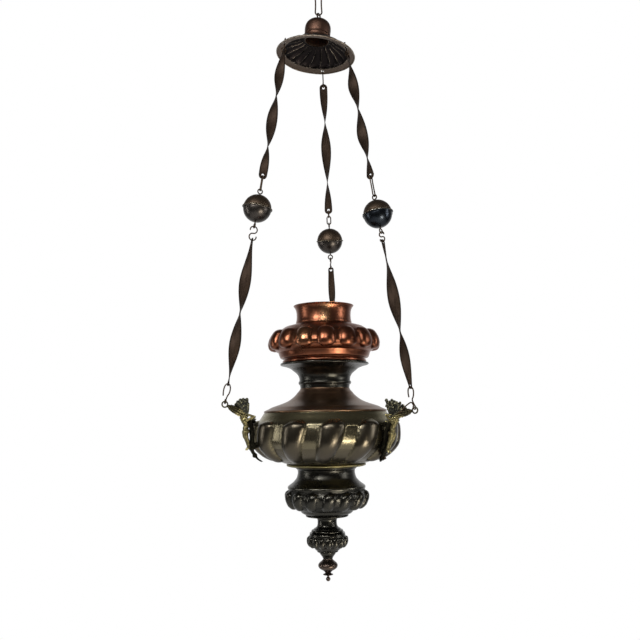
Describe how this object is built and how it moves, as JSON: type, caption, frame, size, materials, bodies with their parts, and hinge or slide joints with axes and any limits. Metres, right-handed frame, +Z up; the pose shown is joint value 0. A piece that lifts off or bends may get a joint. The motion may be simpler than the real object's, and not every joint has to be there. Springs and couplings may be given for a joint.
{
  "type": "hanging votive lamp",
  "caption": "Hanging sanctuary lamp: a copper font on a gadrooned bronze bowl with winged brackets, hung by twisted straps and bead balls from a fluted canopy.",
  "frame": {"origin": "inside of the top of the top ring, where the ceiling hook bears", "axes": "+Z up along the lamp's plumb line, -Y towards the viewer of the picture, +X to the viewer's right; at rest the lamp hangs plumb below the origin"},
  "size_m": [0.3279, 0.3232, 1.1219],
  "materials": {
    "copper": "polished copper",
    "dark_bronze": "dark patinated bronze",
    "bronze": "polished dark bronze with worn crests",
    "strap_bronze": "brown worn bronze",
    "ball_bronze": "dark polished bronze",
    "worn_brass": "worn cast brass",
    "iron_wire": "dark iron"
  },
  "bodies": {
    "ceiling_ring": {"top_ring": "iron_wire"},
    "long_link": {"hanging_link": "iron_wire"},
    "swivel_eye": {"canopy_eye": "iron_wire"},
    "canopy": {"canopy_crown": "strap_bronze", "canopy_dish": "strap_bronze", "canopy_band": "strap_bronze"},
    "vessel": {"main_bowl": "bronze", "shoulder": "bronze", "neck_spool": "dark_bronze", "font": "copper", "foot_ring": "worn_brass", "lower_bulb": "dark_bronze", "stem": "dark_bronze", "finial_knob": "dark_bronze", "drop_finial": "dark_bronze", "tie_rod": "iron_wire", "tie_washer": "iron_wire", "tie_nut": "iron_wire", "putto_bracket_left": "worn_brass", "putto_wings_left": "dark_bronze", "bracket_screw_left": "iron_wire", "putto_bracket_right": "worn_brass", "putto_wings_right": "dark_bronze", "bracket_screw_right": "iron_wire", "putto_bracket_back": "worn_brass", "putto_wings_back": "dark_bronze", "bracket_screw_back": "iron_wire"},
    "leg_left": {"canopy_hook_left": "iron_wire", "upper_strap_left": "strap_bronze", "upper_link_left": "iron_wire", "ball_wire_left": "iron_wire", "s_hook_left": "iron_wire", "lower_strap_left": "strap_bronze", "lower_hook_left": "iron_wire"},
    "ball_left": {"ball_upper_half_left": "ball_bronze", "ball_lower_half_left": "ball_bronze"},
    "leg_right": {"canopy_hook_right": "iron_wire", "upper_strap_right": "strap_bronze", "upper_link_right": "iron_wire", "ball_wire_right": "iron_wire", "s_hook_right": "iron_wire", "lower_strap_right": "strap_bronze", "lower_hook_right": "iron_wire"},
    "ball_right": {"ball_upper_half_right": "ball_bronze", "ball_lower_half_right": "ball_bronze"},
    "leg_back": {"canopy_hook_back": "iron_wire", "upper_strap_back": "strap_bronze", "upper_link_back_1": "iron_wire", "upper_link_back_2": "iron_wire", "ball_wire_back": "iron_wire", "s_hook_back": "iron_wire", "lower_strap_back": "strap_bronze", "lower_hook_back": "iron_wire"},
    "ball_back": {"ball_upper_half_back": "ball_bronze", "ball_lower_half_back": "ball_bronze"}
  },
  "joints": [
    {"name": "link_swing", "type": "hinge", "parent": "ceiling_ring", "child": "long_link", "pos_m": [0, 0, -0.0243], "axis": [1, 0, 0], "range_deg": [-15, 15]},
    {"name": "eye_swing", "type": "hinge", "parent": "long_link", "child": "swivel_eye", "pos_m": [0, 0, -0.0675], "axis": [0.5736, 0.8192, 0], "range_deg": [-12, 12]},
    {"name": "canopy_turn", "type": "hinge", "parent": "swivel_eye", "child": "canopy", "pos_m": [0, 0, -0.07975], "axis": [0, 0, 1], "continuous": true},
    {"name": "vessel_sway", "type": "hinge", "parent": "canopy", "child": "vessel", "pos_m": [-0.00431, -0.00329, 0.22146], "axis": [0, 1, 0], "range_deg": [-2.5, 2.5]},
    {"name": "leg_left_sway", "type": "hinge", "parent": "canopy", "child": "leg_left", "pos_m": [-0.06421, -0.03485, -0.145], "axis": [0, 1, 0], "range_deg": [-3.92, 3.92]},
    {"name": "leg_right_sway", "type": "hinge", "parent": "canopy", "child": "leg_right", "pos_m": [0.04968, -0.03599, -0.15611], "axis": [0, 1, 0], "range_deg": [-3.96, 3.96]},
    {"name": "leg_back_sway", "type": "hinge", "parent": "canopy", "child": "leg_back", "pos_m": [0.00656, 0.06503, -0.15271], "axis": [0, 1, 0], "range_deg": [-3.96, 3.96]},
    {"name": "ball_left_spin", "type": "hinge", "parent": "leg_left", "child": "ball_left", "pos_m": [-0.11543, -0.05201, -0.46507], "axis": [0.1578, 0.0529, 0.9861], "continuous": true},
    {"name": "ball_right_spin", "type": "hinge", "parent": "leg_right", "child": "ball_right", "pos_m": [0.09688, -0.07338, -0.48474], "axis": [-0.1413, 0.1119, 0.9836], "continuous": true},
    {"name": "ball_back_spin", "type": "hinge", "parent": "leg_back", "child": "ball_back", "pos_m": [0.01514, 0.124, -0.4845], "axis": [-0.0255, -0.1749, 0.9843], "continuous": true}
  ],
  "couplings": [
    {"joint": "leg_left_sway", "follows": "vessel_sway", "ratio": 1.55},
    {"joint": "leg_right_sway", "follows": "vessel_sway", "ratio": 1.562},
    {"joint": "leg_back_sway", "follows": "vessel_sway", "ratio": 1.563}
  ]
}
